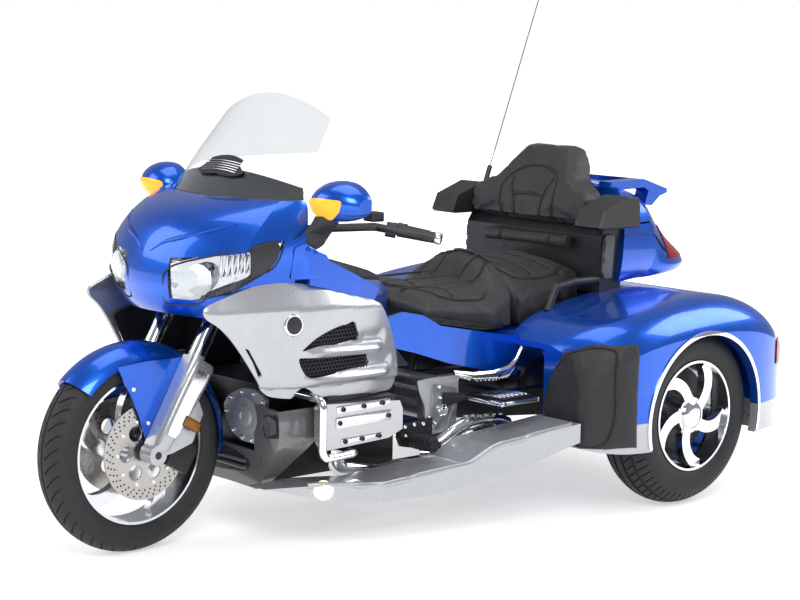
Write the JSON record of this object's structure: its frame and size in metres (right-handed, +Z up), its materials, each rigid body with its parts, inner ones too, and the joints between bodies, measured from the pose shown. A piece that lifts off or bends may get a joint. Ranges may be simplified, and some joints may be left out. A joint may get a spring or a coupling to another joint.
{
  "type": "motorized trike",
  "caption": "Touring motorized trike: faired motorcycle front with steered fork and wheel, stepped seat, lidded trunk and a wide rear body over two driven wheels.",
  "frame": {"origin": "on the ground, midway along the whole machine and on its centre plane", "axes": "+X forward, +Y to the rider's left, +Z up"},
  "size_m": [2.7222, 1.4966, 1.8579],
  "materials": {
    "tyre_rubber": "moulded",
    "polished_casting": "polished",
    "chrome_casting": "polished",
    "disc_steel": "brushed",
    "dark_steel": "satin",
    "silver_paint": "pearl gloss",
    "chrome": "polished",
    "blue_paint": "metallic gloss",
    "black_cast": "satin",
    "black_plastic": "matte",
    "clear_lens": "clear",
    "clear_screen": "clear",
    "graphite_paint": "metallic gloss",
    "brushed_alloy": "brushed",
    "frame_alloy": "satin",
    "black_leather": "grained",
    "mirror_glass": "mirror",
    "grey_alloy": "satin",
    "grey_plastic": "satin",
    "red_lens": "clear"
  },
  "bodies": {
    "chassis": {"arch_trims": "chrome", "dash": "black_plastic", "engine_block": "black_cast", "engine_front_covers": "grey_alloy", "engine_guards": "chrome", "exhausts": "chrome", "fog_lamps": "clear_lens", "foot_rests": "black_cast", "frame_spars": "frame_alloy", "grab_rails": "black_plastic", "headlamps": "clear_lens", "lower_cowl": "graphite_paint", "mirror_arms": "black_plastic", "mirror_glasses": "mirror_glass", "mirror_housings": "blue_paint", "passenger_backrest": "black_leather", "passenger_seat": "black_leather", "pivot_plates": "frame_alloy", "radiators": "dark_steel", "radio_mast": "chrome", "rear_axle": "dark_steel", "rear_body": "blue_paint", "rear_skirts": "silver_paint", "rider_seat": "black_leather", "running_boards": "silver_paint", "screen_trim": "black_plastic", "side_covers": "blue_paint", "side_fairings": "silver_paint", "side_grilles": "black_plastic", "speaker_pods": "black_plastic", "stone_guards": "black_leather", "swingarm": "dark_steel", "switch_panels": "grey_plastic", "tail_lamps": "red_lens", "top_shelter": "blue_paint", "trunk_body": "blue_paint", "trunk_carrier": "dark_steel", "upper_fairing": "blue_paint", "valve_covers": "brushed_alloy", "windshield": "clear_screen"},
    "boot_door": {"boot_door": "blue_paint", "plate_bracket": "black_plastic"},
    "steering": {"calipers": "black_cast", "fork_covers": "chrome", "fork_legs": "silver_paint", "fork_yokes": "dark_steel", "front_axle": "dark_steel", "front_fender": "blue_paint", "hand_controls": "black_plastic", "handlebar": "black_cast"},
    "front_wheel": {"front_discs": "disc_steel", "front_rim": "polished_casting", "front_tyre": "tyre_rubber"},
    "rear_left_wheel": {"rear_left_rim": "chrome_casting", "rear_left_tyre": "tyre_rubber"},
    "rear_right_wheel": {"rear_right_rim": "chrome_casting", "rear_right_tyre": "tyre_rubber"},
    "trunk_lid": {"top_spoiler": "blue_paint", "trunk_lid": "blue_paint"}
  },
  "joints": [
    {"name": "steering_turn", "type": "hinge", "parent": "chassis", "child": "steering", "pos_m": [1.14976, 0, 0], "axis": [-0.4886, 0, 0.8725], "range_deg": [-34, 34]},
    {"name": "front_wheel_spin", "type": "hinge", "parent": "steering", "child": "front_wheel", "pos_m": [1.04075, 0, 0.3195], "axis": [0, 1, 0], "continuous": true},
    {"name": "rear_left_wheel_spin", "type": "hinge", "parent": "chassis", "child": "rear_left_wheel", "pos_m": [-0.80925, 0.6, 0.3135], "axis": [0, 1, 0], "continuous": true},
    {"name": "rear_right_wheel_spin", "type": "hinge", "parent": "chassis", "child": "rear_right_wheel", "pos_m": [-0.80925, -0.6, 0.3135], "axis": [0, 1, 0], "continuous": true},
    {"name": "trunk_lid_hinge", "type": "hinge", "parent": "chassis", "child": "trunk_lid", "pos_m": [-0.843, 0, 1.05], "axis": [0, 1, 0], "range_deg": [0, 55]},
    {"name": "boot_door_hinge", "type": "hinge", "parent": "chassis", "child": "boot_door", "pos_m": [-1.33, 0, 0.524], "axis": [0, 1, 0], "range_deg": [0, 75]}
  ]
}
